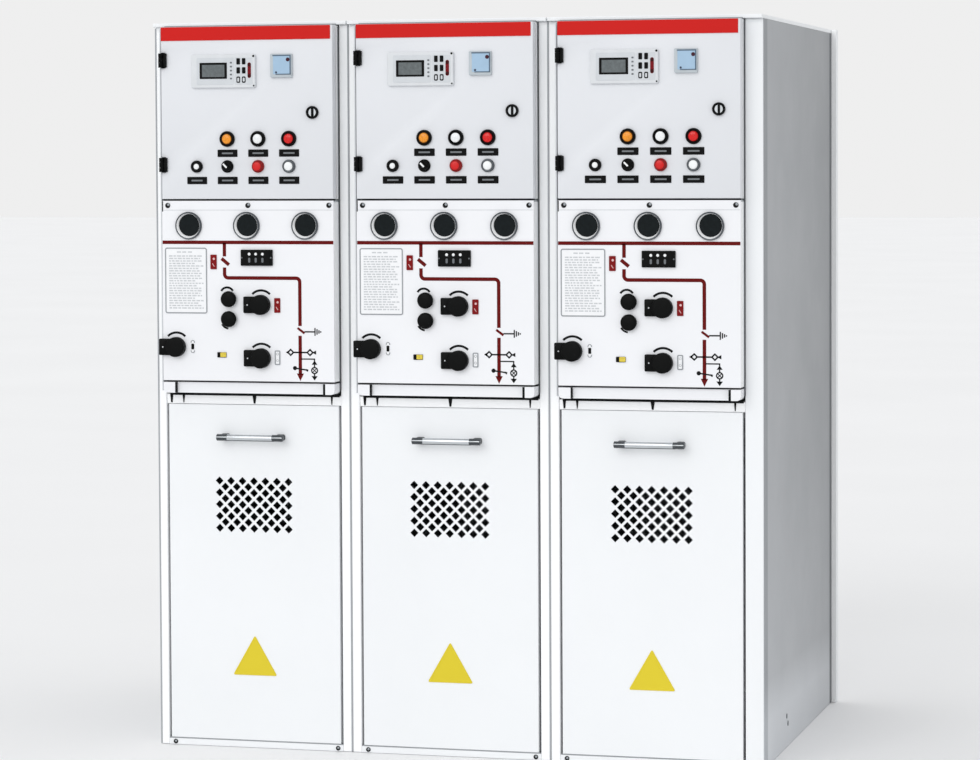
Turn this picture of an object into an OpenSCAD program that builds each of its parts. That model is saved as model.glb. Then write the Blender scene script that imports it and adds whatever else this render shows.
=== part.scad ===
// Solid-insulated ring main unit: a bank of three equal switchgear units.
// Millimetres. X right, -Y front, +Z up. Origin: middle of the footprint box, on the floor.

/* [Bank] */
// Width of one unit
unit_w = 420; // [380:1:500]
// Overall height
body_h = 1500; // [1400:1:1700]
// Depth from the post face to the rear face
body_d = 866; // [700:1:1000]
// Width of the end frame on the right
end_w = 17; // [10:1:30]
// How far the rear flange stands out from the right end
flange_w = 11.5; // [5:0.5:20]

/* [Frame] */
// Width of a corner post
post_w = 19; // [15:1:30]
// Depth of a corner post
post_d = 40; // [30:1:60]
// Sheet thickness of the walls
sheet_t = 2; // [1.5:0.5:4]
// Thickness of the roof plates
roof_t = 8; // [4:1:15]
// Height of the plinth bars
base_h = 13; // [10:1:40]
// Radius of an anchor hole in the plinth
anchor_r = 7; // [5:0.5:9]

/* [Hood] */
// How far the hood stands out in front of the posts
hood_out = 38; // [25:1:60]
// Lower edge of the mimic panel
mimic_z0 = 764; // [720:1:800]
// Upper edge of the mimic panel
mimic_z1 = 1134; // [1100:1:1180]
// Height of the window centres
window_z = 1083; // [1040:1:1100]
// Outer radius of a window ring
ring_r = 28; // [24:0.5:32]

/* [Door] */
// Lower edge of an instrument door
door_z0 = 1139; // [1110:1:1190]
// Upper edge of an instrument door
door_z1 = 1491; // [1400:1:1690]
// Depth of the door's folded rim
door_d = 20; // [12:1:30]
// Height of the coloured header strip
header_h = 28; // [20:1:40]

/* [Cable cover] */
// Lower edge of a cable cover
cover_z0 = 18; // [15:1:60]
// Upper edge of a cable cover
cover_z1 = 713; // [650:1:720]
// Depth of the cover's folded rim
cover_d = 18; // [10:1:25]
// Distance between vent columns
vent_px = 25; // [22:0.5:30]
// Distance between vent rows
vent_pz = 24.5; // [22:0.5:30]
// Side of one square vent hole
vent_s = 12.5; // [8:0.5:14]
// Height of the middle of the vents
vent_z = 505; // [450:1:560]
// Height of the cover handle
grip_z = 646; // [600:1:680]
// How far the cover handle stands out
grip_out = 30; // [26:1:50]

/* [Controls] */
// Radius of an operating-shaft cover
shaft_r = 21; // [18:0.5:25]
// How far an operating-shaft cover stands out
shaft_out = 14; // [14:1:40]
// Radius of a push knob
knob_r = 16.5; // [14:0.5:20]
// Radius of a lamp bezel
lamp_r = 16; // [14:0.5:18]

/* [Hidden] */
$fn = 48;
n_units = 3;
total_w = n_units * unit_w + end_w + flange_w;
x0 = -total_w / 2 - 0.5;                        // the outer post face of unit 1 is 1 mm inside its boundary
y0 = -(body_d - hood_out - shaft_out) / 2;      // front face of the posts
top_z = body_h - roof_t;
hood_l = 28;                                    // hood's left edge in a unit
hood_r = unit_w - 21.5;                         // hood's right edge in a unit
fy = -hood_out;                                 // front face of doors and mimic panels
by = fy + door_d + 5;                           // front edge of what stands behind a closed door
hinge_x = hood_l + 1.5;
hinge_y = fy - 5;
hinge_zs = [1208, 1422.5];
lamp_x = [105.5, 171.9, 238.3, 304.7];
lamp_z1 = 1260.5;
lamp_z2 = 1204.3;
lock_p = [355.5, 1313.5];
window_x = [86.3, 211.9, 337.5];
shafts = [[242, 921], [242, 811.5], [57.5, 833]];

// box from two corners
module bx(xa, xb, ya, yb, za, zb) translate([xa, ya, za]) cube([xb - xa, yb - ya, zb - za]);
// place children in unit k
module unit(k) translate([x0 + k * unit_w, y0, 0]) children();
module units() for (k = [0 : n_units - 1]) unit(k) children();
// cylinder along Y between ya and yb
module cy(x, z, r, ya, yb) translate([x, ya, z]) rotate([-90, 0, 0]) cylinder(r = r, h = yb - ya);

module base_rails() color("#F0F2F4") units() {
    difference() {
        bx(1 + post_w, unit_w - 1 - post_w, 0, 45, 0, base_h);
        for (x = [60, unit_w - 60]) translate([x, 25, -1]) cylinder(r = anchor_r, h = base_h + 2);
    }
    difference() {
        bx(1 + post_w, unit_w - 1 - post_w, body_d - 45, body_d, 0, base_h);
        for (x = [60, unit_w - 60]) translate([x, body_d - 25, -1]) cylinder(r = anchor_r, h = base_h + 2);
    }
}

module floor_plates() color("#B9BCBF") units() {
    bx(1 + sheet_t, unit_w - 1 - sheet_t, 45, 300, 0, 3);
    bx(1 + sheet_t, unit_w - 1 - sheet_t, 520, body_d - 45, 0, 3);
}

// the right front corner of the last unit belongs to the end frame
module corner_posts() color("#F0F2F4") for (k = [0 : n_units - 1]) unit(k)
    for (x = [1, unit_w - 1 - post_w], y = [0, body_d - post_d])
        if (k < n_units - 1 || x == 1 || y > 0) bx(x, x + post_w, y, y + post_d, 0, top_z);

module end_frames() color("#F0F2F4") unit(n_units - 1) {
    bx(unit_w - 1 - post_w, unit_w + end_w, 0, post_d, 0, top_z);
    bx(unit_w, unit_w + end_w, body_d - 25, body_d, 0, top_z);
    bx(unit_w + end_w, unit_w + end_w + flange_w, body_d - 25, body_d, 0, body_h);
}

module wall(x) bx(x, x + sheet_t, post_d, body_d - post_d, 0, top_z);

module end_skins() color("#A2A5A8") {
    unit(0) wall(1);
    unit(n_units - 1) bx(unit_w + end_w - sheet_t, unit_w + end_w, post_d, body_d - 25, 0, top_z);
}

module partition_walls() color("#B9BCBF") {
    units() wall(unit_w - 1 - sheet_t);
    for (k = [1 : n_units - 1]) unit(k) wall(1);
}

module rear_covers() color("#E4E6E9") units()
    bx(1 + post_w, unit_w - 1 - post_w, body_d - 6, body_d - 3, base_h, top_z);

module roof_plates() color("#F0F2F4") for (k = [0 : n_units - 1]) unit(k)
    bx(1, k == n_units - 1 ? unit_w + end_w : unit_w - 1, by, body_d, top_z, body_h);

module lv_cheeks() color("#E4E6E9") units() {
    bx(hood_l + 2, hood_l + 4, by, 260, mimic_z1, top_z);
    bx(hood_r - 4, hood_r - 2, by, 260, mimic_z1, top_z);
}

module lv_backs() color("#C4C7CA") units() bx(hood_l, hood_r, 260, 262, mimic_z1 - 3, top_z);

module shelves() color("#C4C7CA") units() {
    bx(hood_l, hood_r, fy + 3, 260, mimic_z1 - 3, mimic_z1);
    bx(1 + sheet_t, unit_w - 1 - sheet_t, post_d, body_d - post_d, 736, 739);
}

module hood_cheeks() color("#F0F2F4") units() {
    bx(hood_l, hood_l + 3, fy + 3, 0, mimic_z0, mimic_z1 - 3);
    bx(hood_r - 3, hood_r, fy + 3, 0, mimic_z0, mimic_z1 - 3);
}

module mimic_panels() color("#E6E8EB") units() difference() {
    bx(hood_l, hood_r, fy, fy + 3, mimic_z0, mimic_z1);
    for (x = window_x) cy(x, window_z, 23.5, fy - 1, fy + 4);
}

module window_rings() color("#C9CDD1") units() for (x = window_x) difference() {
    union() {
        cy(x, window_z, ring_r, fy - 6, fy);
        cy(x, window_z, 23.4, fy - 1, fy + 24);
    }
    cy(x, window_z, 22, fy - 7, fy + 25);
}

module window_glasses() color("#15181B") units() for (x = window_x) cy(x, window_z, 21.9, fy + 17, fy + 20);

// corner piece of width w with a rounded lower outer edge, outer edge at x = 0
module ledge_corner(w) difference() {
    bx(0, w, fy, 0, 738, 760);
    difference() {
        bx(-1, 9, fy - 1, 1, 737, 747);
        cy(9, 747, 9, fy - 2, 2);
    }
}

module ledge_rails() color("#F0F2F4") units() {
    bx(hood_l + 27.5, hood_r - 22.5, fy + 9, post_d, 738, 760);
    translate([hood_l, 0, 0]) ledge_corner(25);
    translate([hood_r, 0, 0]) mirror([1, 0, 0]) ledge_corner(20);
}

module transoms() color("#D9DCDF") units() {
    bx(1 + post_w, unit_w - 1 - post_w, 3, post_d, cover_z1 + 5, 733);
    bx(1 + post_w, unit_w - 1 - post_w, cover_d + 6, post_d, cover_z1 - 13, cover_z1 + 6);
}

module hinge_brackets() color("#121416") units() for (z = hinge_zs) translate([0, 0, z]) {
    for (s = [0, 1]) mirror([0, 0, s]) {
        translate([hinge_x, hinge_y, 6]) cylinder(r = 5, h = 8.5);
        bx(hinge_x - 4.5, hinge_x + 4.5, hinge_y, fy + 1, 6, 14.5);
    }
    translate([hinge_x, hinge_y, -14]) cylinder(r = 2, h = 28);
    bx(hinge_x - 4.5, hinge_x + 4.5, fy + 1, by, -14.5, 14.5);
    bx(hinge_x - 4.5, hood_l + 2, by - 1, 10, -14.5, 14.5);
}

module shaft_handles() color("#121416") units() for (p = shafts) {
    cy(p[0], p[1], shaft_r, fy - shaft_out, fy);
    bx(p[0] - 36, p[0], fy - shaft_out + 4, fy, p[1] - 17, p[1] + 17);
}

module push_knobs() color("#121416") units() for (z = [932.5, 891.5]) cy(174, z, knob_r, fy - 13, fy);

module live_displays() color("#121416") units() bx(200, 268, fy - 6, fy, 1001, 1034);

module indicator_flags() color("#B02020") units() {
    bx(133, 146.5, fy - 2, fy, 993.5, 1023.5);
    bx(270.5, 283.5, fy - 2, fy, 905, 935);
    bx(271, 283, fy - 2, fy, 798, 828);
    bx(89, 97, fy - 2, fy, 820.5, 847.5);
    bx(146.5, 166.5, fy - 2, fy, 812, 823);
}

// parts of an instrument door, in unit coordinates
module door_panel() difference() {
    bx(hood_l, hood_r, fy, fy + door_d, door_z0, door_z1);
    bx(hood_l + 2, hood_r - 2, fy + 2.5, fy + door_d + 1, door_z0 + 2, door_z1 - 2);
    bx(100, 231, fy - 1, fy + 4, 1369.5, 1429.5);
    bx(270, 310, fy - 1, fy + 4, 1387.5, 1430.5);
    for (i = [1 : 3]) cy(lamp_x[i], lamp_z1, 11.5, fy - 1, fy + 4);
    for (i = [0 : 3]) cy(lamp_x[i], lamp_z2, 11.5, fy - 1, fy + 4);
    cy(lock_p[0], lock_p[1], 8.5, fy - 1, fy + 4);
    for (z = hinge_zs) bx(hood_l - 1, hinge_x + 7.5, fy - 1, fy + door_d + 1, z - 15.5, z + 15.5);
}

module header_strip() bx(hood_l + 0.5, hood_r - 4.5, fy - 1.5, fy, door_z1 - header_h - 0.5, door_z1 - 0.5);

module door_hinges() for (z = hinge_zs) translate([0, 0, z]) difference() {
    union() {
        bx(hinge_x + 5.8, hinge_x + 11.5, fy - 5, fy, -14.5, 14.5);
        bx(hinge_x, hinge_x + 6, fy - 5, fy - 0.5, -5.7, 5.7);
        translate([hinge_x, hinge_y, -5.7]) cylinder(r = 5, h = 11.4);
    }
    translate([hinge_x, hinge_y, -20]) cylinder(r = 2.3, h = 40);
}

module relay() {
    bx(96, 235, fy - 8, fy, 1365, 1433.5);
    bx(101, 230, fy - 1, 8, 1370.5, 1428.5);
}

module meter() {
    bx(267, 313.5, fy - 8, fy, 1385, 1433.5);
    bx(271, 309, fy - 1, 8, 1388.5, 1429.5);
}

module lamp(x, z, r, rl, out) {
    cy(x, z, r, fy - 6, fy);
    cy(x, z, rl, fy - 6 - out, fy - 5);
    cy(x, z, 11, fy - 1, 0);
}

module pilot_lamps() {
    for (i = [1 : 3]) lamp(lamp_x[i], lamp_z1, lamp_r, 11.5, 2);
    lamp(lamp_x[0], lamp_z2, 12.5, 7, 2);
    lamp(lamp_x[1], lamp_z2, 12.5, 10.5, 8);
    lamp(lamp_x[2], lamp_z2, 13, 11, 6);
    lamp(lamp_x[3], lamp_z2, 14, 11, 6);
}

module door_lock() {
    cy(lock_p[0], lock_p[1], 13, fy - 7, fy);
    cy(lock_p[0], lock_p[1], 8, fy - 1, fy + 16);
}

// parts of a cable cover, in unit coordinates
module vent(x, z) translate([x, -1, z]) rotate([0, 45, 0]) translate([-vent_s / 2, 0, -vent_s / 2]) cube([vent_s, 6, vent_s]);

module cable_cover() difference() {
    bx(25, unit_w - 25, 0, cover_d, cover_z0, cover_z1);
    bx(27, unit_w - 27, 2.5, cover_d + 1, cover_z0 + 2, cover_z1 - 2);
    for (i = [-3 : 3], j = [-2 : 2]) vent(unit_w / 2 + i * vent_px, vent_z + j * vent_pz);
    for (i = [-2.5 : 1 : 2.5], j = [-1.5 : 1 : 1.5]) vent(unit_w / 2 + i * vent_px, vent_z + j * vent_pz);
}

module cover_handle() {
    for (s = [-1, 1]) bx(unit_w / 2 + s * 61 - 11, unit_w / 2 + s * 61 + 11, -grip_out, 0, grip_z - 7.5, grip_z + 7.5);
    translate([unit_w / 2 - 55, 6.5 - grip_out, grip_z]) rotate([0, 90, 0]) cylinder(r = 6.5, h = 110);
}

module door_panel_1() color("#E6E8EB") unit(0) door_panel();
module door_panel_2() color("#E6E8EB") unit(1) door_panel();
module door_panel_3() color("#E6E8EB") unit(2) door_panel();
module header_strip_1() color("#C8201C") unit(0) header_strip();
module header_strip_2() color("#C8201C") unit(1) header_strip();
module header_strip_3() color("#C8201C") unit(2) header_strip();
module door_hinges_1() color("#121416") unit(0) door_hinges();
module door_hinges_2() color("#121416") unit(1) door_hinges();
module door_hinges_3() color("#121416") unit(2) door_hinges();
module relay_1() color("#DADDE0") unit(0) relay();
module relay_2() color("#DADDE0") unit(1) relay();
module relay_3() color("#DADDE0") unit(2) relay();
module meter_1() color("#BCD4E6") unit(0) meter();
module meter_2() color("#BCD4E6") unit(1) meter();
module meter_3() color("#BCD4E6") unit(2) meter();
module pilot_lamps_1() color("#16181A") unit(0) pilot_lamps();
module pilot_lamps_2() color("#16181A") unit(1) pilot_lamps();
module pilot_lamps_3() color("#16181A") unit(2) pilot_lamps();
module door_lock_1() color("#16181A") unit(0) door_lock();
module door_lock_2() color("#16181A") unit(1) door_lock();
module door_lock_3() color("#16181A") unit(2) door_lock();
module cable_cover_1() color("#F3F5F7") unit(0) cable_cover();
module cable_cover_2() color("#F3F5F7") unit(1) cable_cover();
module cable_cover_3() color("#F3F5F7") unit(2) cable_cover();
module cover_handle_1() color("#8C9094") unit(0) cover_handle();
module cover_handle_2() color("#8C9094") unit(1) cover_handle();
module cover_handle_3() color("#8C9094") unit(2) cover_handle();

base_rails();
floor_plates();
corner_posts();
end_frames();
end_skins();
partition_walls();
rear_covers();
roof_plates();
lv_cheeks();
lv_backs();
shelves();
hood_cheeks();
mimic_panels();
window_rings();
window_glasses();
ledge_rails();
transoms();
hinge_brackets();
shaft_handles();
push_knobs();
live_displays();
indicator_flags();
door_panel_1();
header_strip_1();
door_hinges_1();
relay_1();
meter_1();
pilot_lamps_1();
door_lock_1();
door_panel_2();
header_strip_2();
door_hinges_2();
relay_2();
meter_2();
pilot_lamps_2();
door_lock_2();
door_panel_3();
header_strip_3();
door_hinges_3();
relay_3();
meter_3();
pilot_lamps_3();
door_lock_3();
cable_cover_1();
cover_handle_1();
cable_cover_2();
cover_handle_2();
cable_cover_3();
cover_handle_3();
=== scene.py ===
import math
import bpy
from mathutils import Matrix


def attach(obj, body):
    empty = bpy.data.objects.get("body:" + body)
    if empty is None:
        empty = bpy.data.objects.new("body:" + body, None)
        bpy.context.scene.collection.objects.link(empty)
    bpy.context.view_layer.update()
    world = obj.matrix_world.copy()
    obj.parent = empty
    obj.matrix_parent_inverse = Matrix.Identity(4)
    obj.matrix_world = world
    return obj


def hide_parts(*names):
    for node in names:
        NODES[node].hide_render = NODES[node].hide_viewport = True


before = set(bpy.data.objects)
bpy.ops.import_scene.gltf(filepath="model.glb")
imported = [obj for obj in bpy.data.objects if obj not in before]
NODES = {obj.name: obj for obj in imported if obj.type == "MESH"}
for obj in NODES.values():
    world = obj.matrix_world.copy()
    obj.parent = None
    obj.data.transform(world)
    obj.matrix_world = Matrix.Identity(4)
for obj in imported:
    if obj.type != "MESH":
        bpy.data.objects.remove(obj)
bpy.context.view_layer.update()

# ---------------------------------------------------------------- frame
# Unit coordinates in mm: x from the unit's left boundary, y from the post face (minus is forward), z up.
UNIT_W = 420.0
ROW_X, ROW_Y = -644.75, -407.0
N = 3
FY = -38.0                      # front plane of doors and mimic panels
PROUD = 0.35                    # height of a printed mark above its panel
PLINTH_H = 13.0


def P(k, x, y, z):
    return ((ROW_X + UNIT_W * k + x) / 1000.0, (ROW_Y + y) / 1000.0, z / 1000.0)


# ---------------------------------------------------------------- node materials
def srgb(h):
    h = h.lstrip("#")
    out = []
    for i in (0, 2, 4):
        c = int(h[i:i + 2], 16) / 255.0
        out.append(c / 12.92 if c <= 0.04045 else ((c + 0.055) / 1.055) ** 2.4)
    return tuple(out) + (1.0,)


def tint(c, f):
    return (min(c[0] * f, 1.0), min(c[1] * f, 1.0), min(c[2] * f, 1.0), 1.0)


class Mat:
    """A node material on object coordinates, in metres."""

    def __init__(self, name):
        self.m = bpy.data.materials.new(name)
        self.m.use_nodes = True
        self.nt = self.m.node_tree
        self.bsdf = self.nt.nodes["Principled BSDF"]
        self.co = self.nt.nodes.new("ShaderNodeTexCoord").outputs["Object"]

    def link(self, a, b):
        self.nt.links.new(a, b)

    def mapping(self, scale=(1, 1, 1), rot=(0, 0, 0)):
        n = self.nt.nodes.new("ShaderNodeMapping")
        n.inputs["Scale"].default_value = scale
        n.inputs["Rotation"].default_value = rot
        self.link(self.co, n.inputs["Vector"])
        return n.outputs["Vector"]

    def noise(self, scale, detail=3.0, rough=0.5, vec=None):
        n = self.nt.nodes.new("ShaderNodeTexNoise")
        n.inputs["Scale"].default_value = scale
        n.inputs["Detail"].default_value = detail
        n.inputs["Roughness"].default_value = rough
        self.link(vec if vec is not None else self.co, n.inputs["Vector"])
        return n.outputs["Fac"]

    def voronoi(self, scale, out="Distance", vec=None):
        n = self.nt.nodes.new("ShaderNodeTexVoronoi")
        n.inputs["Scale"].default_value = scale
        self.link(vec if vec is not None else self.co, n.inputs["Vector"])
        return n.outputs[out]

    def ramp(self, fac, stops):
        n = self.nt.nodes.new("ShaderNodeValToRGB")
        e = n.color_ramp.elements
        e[0].position, e[0].color = stops[0]
        e[1].position, e[1].color = stops[-1]
        for p, c in stops[1:-1]:
            q = e.new(p)
            q.color = c
        self.link(fac, n.inputs["Fac"])
        return n.outputs["Color"]

    def span(self, fac, lo, hi, a=0.3, b=0.7):
        n = self.nt.nodes.new("ShaderNodeMapRange")
        n.inputs["From Min"].default_value = a
        n.inputs["From Max"].default_value = b
        n.inputs["To Min"].default_value = lo
        n.inputs["To Max"].default_value = hi
        self.link(fac, n.inputs["Value"])
        return n.outputs["Result"]

    def mix(self, fac, a, b, kind="MIX"):
        n = self.nt.nodes.new("ShaderNodeMix")
        n.data_type = "RGBA"
        n.blend_type = kind
        for sock, v in ((n.inputs[0], fac), (n.inputs[6], a), (n.inputs[7], b)):
            if hasattr(v, "is_linked"):
                self.link(v, sock)
            else:
                sock.default_value = v
        return n.outputs[2]

    def bump(self, fac, strength, dist, prev=None):
        n = self.nt.nodes.new("ShaderNodeBump")
        n.inputs["Strength"].default_value = strength
        n.inputs["Distance"].default_value = dist
        self.link(fac, n.inputs["Height"])
        if prev is not None:
            self.link(prev, n.inputs["Normal"])
        return n.outputs["Normal"]

    def put(self, **kw):
        names = {"color": "Base Color", "rough": "Roughness", "normal": "Normal", "metal": "Metallic",
                 "coat": "Coat Weight", "coat_rough": "Coat Roughness", "ior": "IOR", "spec": "Specular IOR Level",
                 "trans": "Transmission Weight", "sss": "Subsurface Weight"}
        for key, v in kw.items():
            s = self.bsdf.inputs[names[key]]
            if hasattr(v, "is_linked"):
                self.link(v, s)
            else:
                s.default_value = v
        return self.m


def powder_coat(name, hexcol, rough=0.42, vary=0.018, peel=0.10, spec=0.45, shade_gradient=False):
    """Sprayed and baked paint: faint cloudiness, orange peel, a few duller patches."""
    m = Mat(name)
    c = srgb(hexcol)
    cloud = m.noise(2.6, 4.0, 0.55)
    col = m.ramp(cloud, [(0.30, tint(c, 1 - vary)), (0.52, c), (0.74, tint(c, 1 + vary))])
    speck = m.noise(1500.0, 1.0, 0.4)
    col = m.mix(m.span(speck, 0.0, 0.05, 0.42, 0.72), col, tint(c, 0.86))
    r = m.span(m.noise(6.0, 3.0, 0.6), rough - 0.05, rough + 0.07)
    n = m.bump(m.noise(620.0, 2.0, 0.45), peel, 0.00035)
    n = m.bump(m.noise(3.5, 1.0, 0.4), 0.05, 0.004, n)
    if shade_gradient:
        # painted shade: paler towards the floor and the front, darker upwards and towards the back, for how light
        # falls on the end sheet
        sep = m.nt.nodes.new("ShaderNodeSeparateXYZ")
        m.link(m.co, sep.inputs[0])
        deep = m.ramp(m.span(sep.outputs["Y"], 0.0, 1.0, -0.36, 0.43), [(0.0, (1, 1, 1, 1)), (1.0, (0.745, 0.745, 0.745, 1))])
        high = m.ramp(m.span(sep.outputs["Z"], 0.0, 1.0, 0.0, 0.75),
                      [(0.0, (1, 1, 1, 1)), (0.12, (1, 1, 1, 1)), (0.23, (0.72, 0.72, 0.72, 1)), (1.0, (0.60, 0.60, 0.60, 1))])
        col = m.mix(1.0, m.mix(1.0, col, deep, "MULTIPLY"), high, "MULTIPLY")
    return m.put(color=col, rough=r, normal=n, spec=spec)


def moulded(name, hexcol, rough=0.38, vary=0.06, grain=900.0, depth=0.12, coat=0.0, spec=0.4):
    """Moulded plastic with a fine spark-eroded grain."""
    m = Mat(name)
    c = srgb(hexcol)
    col = m.ramp(m.noise(40.0, 3.0, 0.5), [(0.3, tint(c, 1 - vary)), (0.7, tint(c, 1 + vary))])
    r = m.span(m.noise(120.0, 2.0, 0.5), rough - 0.05, rough + 0.08)
    n = m.bump(m.noise(grain, 2.0, 0.6), depth, 0.0002)
    return m.put(color=col, rough=r, normal=n, coat=coat, coat_rough=0.12, spec=spec)


def printed(name, hexcol, rough=0.5, spec=0.2):
    """Screen-printed ink: slightly uneven film."""
    m = Mat(name)
    c = srgb(hexcol)
    col = m.ramp(m.noise(260.0, 3.0, 0.6), [(0.3, tint(c, 0.90)), (0.7, tint(c, 1.08))])
    r = m.span(m.noise(90.0, 2.0, 0.5), rough - 0.06, rough + 0.08)
    n = m.bump(m.noise(1400.0, 2.0, 0.5), 0.08, 0.0001)
    return m.put(color=col, rough=r, normal=n, spec=spec)


def brushed(name, hexcol, along="x", rough=0.28, metal=1.0):
    """Drawn or brushed metal, lines along one axis."""
    m = Mat(name)
    c = srgb(hexcol)
    sc = {"x": (12, 900, 900), "y": (900, 12, 900), "z": (900, 900, 12)}[along]
    streak = m.noise(1.0, 3.0, 0.6, m.mapping(sc))
    col = m.ramp(streak, [(0.3, tint(c, 0.86)), (0.7, tint(c, 1.08))])
    r = m.span(streak, rough - 0.06, rough + 0.10)
    n = m.bump(streak, 0.10, 0.0002)
    return m.put(color=col, rough=r, normal=n, metal=metal)


def polished(name, hexcol, rough=0.10):
    m = Mat(name)
    c = srgb(hexcol)
    smudge = m.noise(55.0, 4.0, 0.6)
    col = m.ramp(smudge, [(0.3, tint(c, 0.94)), (0.7, c)])
    r = m.span(smudge, rough - 0.03, rough + 0.06)
    n = m.bump(m.noise(350.0, 2.0, 0.5), 0.03, 0.0002)
    return m.put(color=col, rough=r, normal=n, metal=1.0)


def zinc(name, hexcol):
    """Galvanised sheet with spangle."""
    m = Mat(name)
    c = srgb(hexcol)
    cell = m.voronoi(70.0, "Color")
    bw = m.nt.nodes.new("ShaderNodeRGBToBW")
    m.link(cell, bw.inputs["Color"])
    col = m.ramp(bw.outputs["Val"], [(0.2, tint(c, 0.88)), (0.8, tint(c, 1.08))])
    r = m.span(bw.outputs["Val"], 0.34, 0.5, 0.2, 0.8)
    n = m.bump(m.noise(300.0, 3.0, 0.6), 0.06, 0.0003)
    return m.put(color=col, rough=r, normal=n, metal=0.85)


def lens(name, hexcol, dark=0.72):
    """Coloured lamp lens with a prismatic back seen through its face."""
    m = Mat(name)
    c = srgb(hexcol)
    prism = m.voronoi(420.0)
    col = m.ramp(prism, [(0.05, tint(c, 1.06)), (0.75, tint(c, dark))])
    n = m.bump(m.voronoi(420.0), 0.12, 0.0004)
    r = m.span(m.noise(200.0), 0.16, 0.24)
    return m.put(color=col, rough=r, normal=n, coat=0.25, coat_rough=0.08, spec=0.25)


def glass(name, hexcol, rough=0.06, spec=0.5, coat=0.4):
    """Dark sight glass: smoked pane with faint dust."""
    m = Mat(name)
    c = srgb(hexcol)
    dust = m.noise(130.0, 5.0, 0.65)
    col = m.ramp(dust, [(0.35, c), (0.8, tint(c, 1.6))])
    r = m.span(dust, rough, rough + 0.10)
    n = m.bump(m.noise(25.0, 1.0, 0.4), 0.02, 0.001)
    return m.put(color=col, rough=r, normal=n, coat=coat, coat_rough=0.04, spec=spec)


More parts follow.
